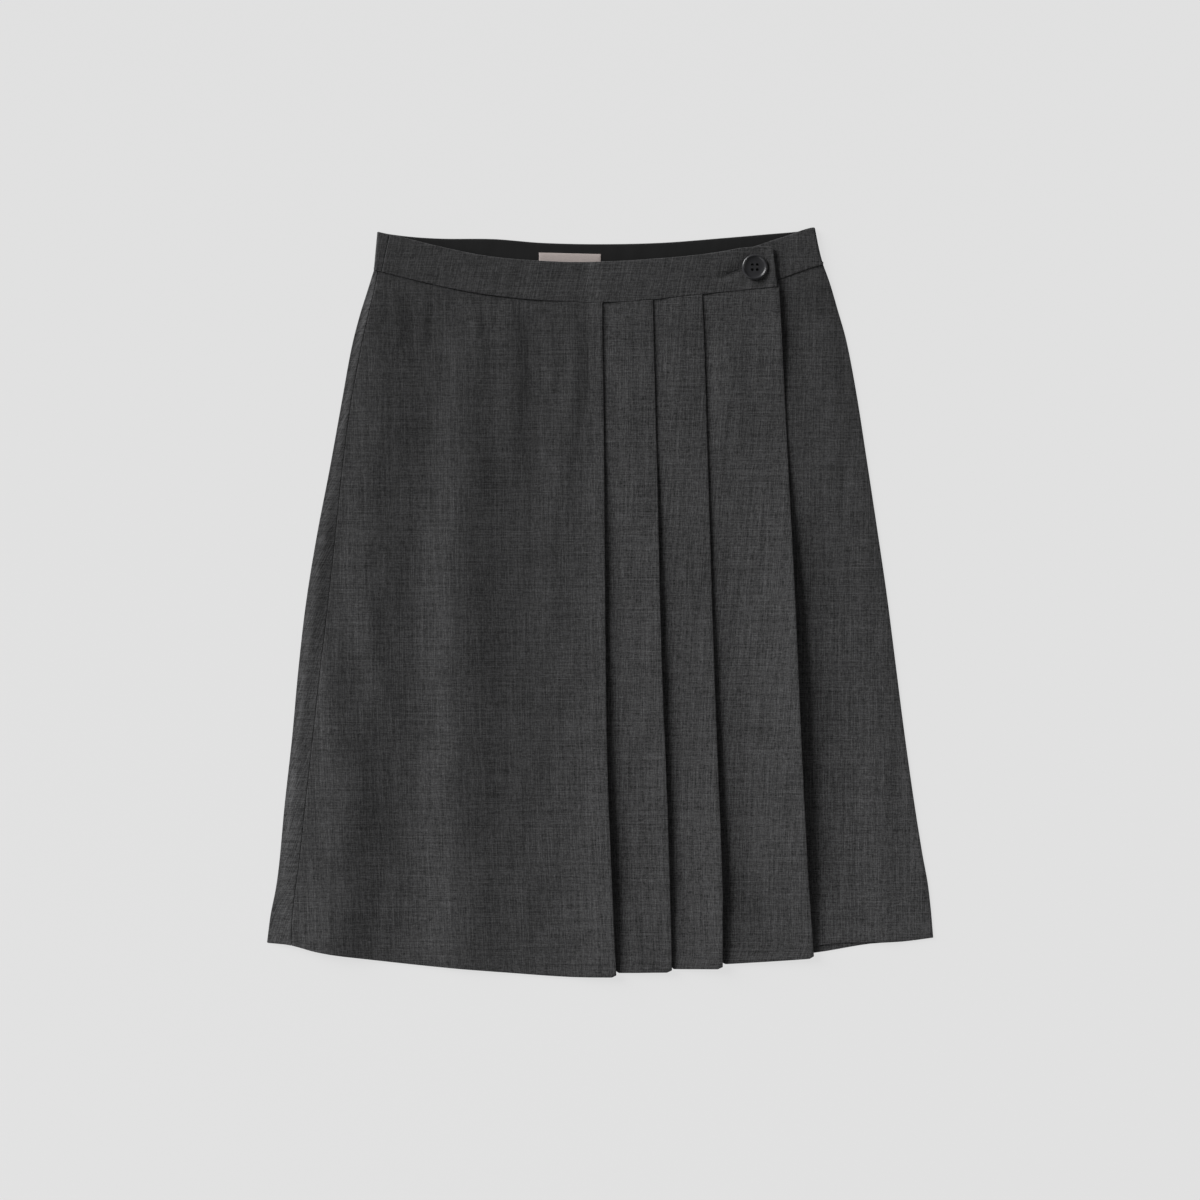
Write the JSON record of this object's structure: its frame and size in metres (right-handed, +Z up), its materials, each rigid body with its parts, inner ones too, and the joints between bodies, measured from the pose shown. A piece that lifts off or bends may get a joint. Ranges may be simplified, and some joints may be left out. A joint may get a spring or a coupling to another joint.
{
  "type": "knee-length wrap skirt laid flat",
  "caption": "Wrap skirt in charcoal wool laid flat, with knife pleats at the wrap, a curved waistband and a button.",
  "frame": {"origin": "centre of the skirt's length and width on the surface it lies on", "axes": "+Z up out of the front, +Y from hem to waist, +X to the right of someone who looks at the front"},
  "size_m": [0.5662, 0.6363, 0.0103],
  "materials": {
    "wool": "matt fine wool with a light and dark fleck",
    "facing": "smooth black lining cloth",
    "label": "bare woven ribbon",
    "button": "polished black resin"
  },
  "bodies": {
    "root": {"back_panel": "wool", "under_wrap_panel": "wool", "over_wrap_panel": "wool", "back_waistband": "wool", "under_wrap_band": "wool", "over_wrap_band": "wool", "waistband_facing": "facing", "label": "label", "button": "button"}
  },
  "joints": []
}
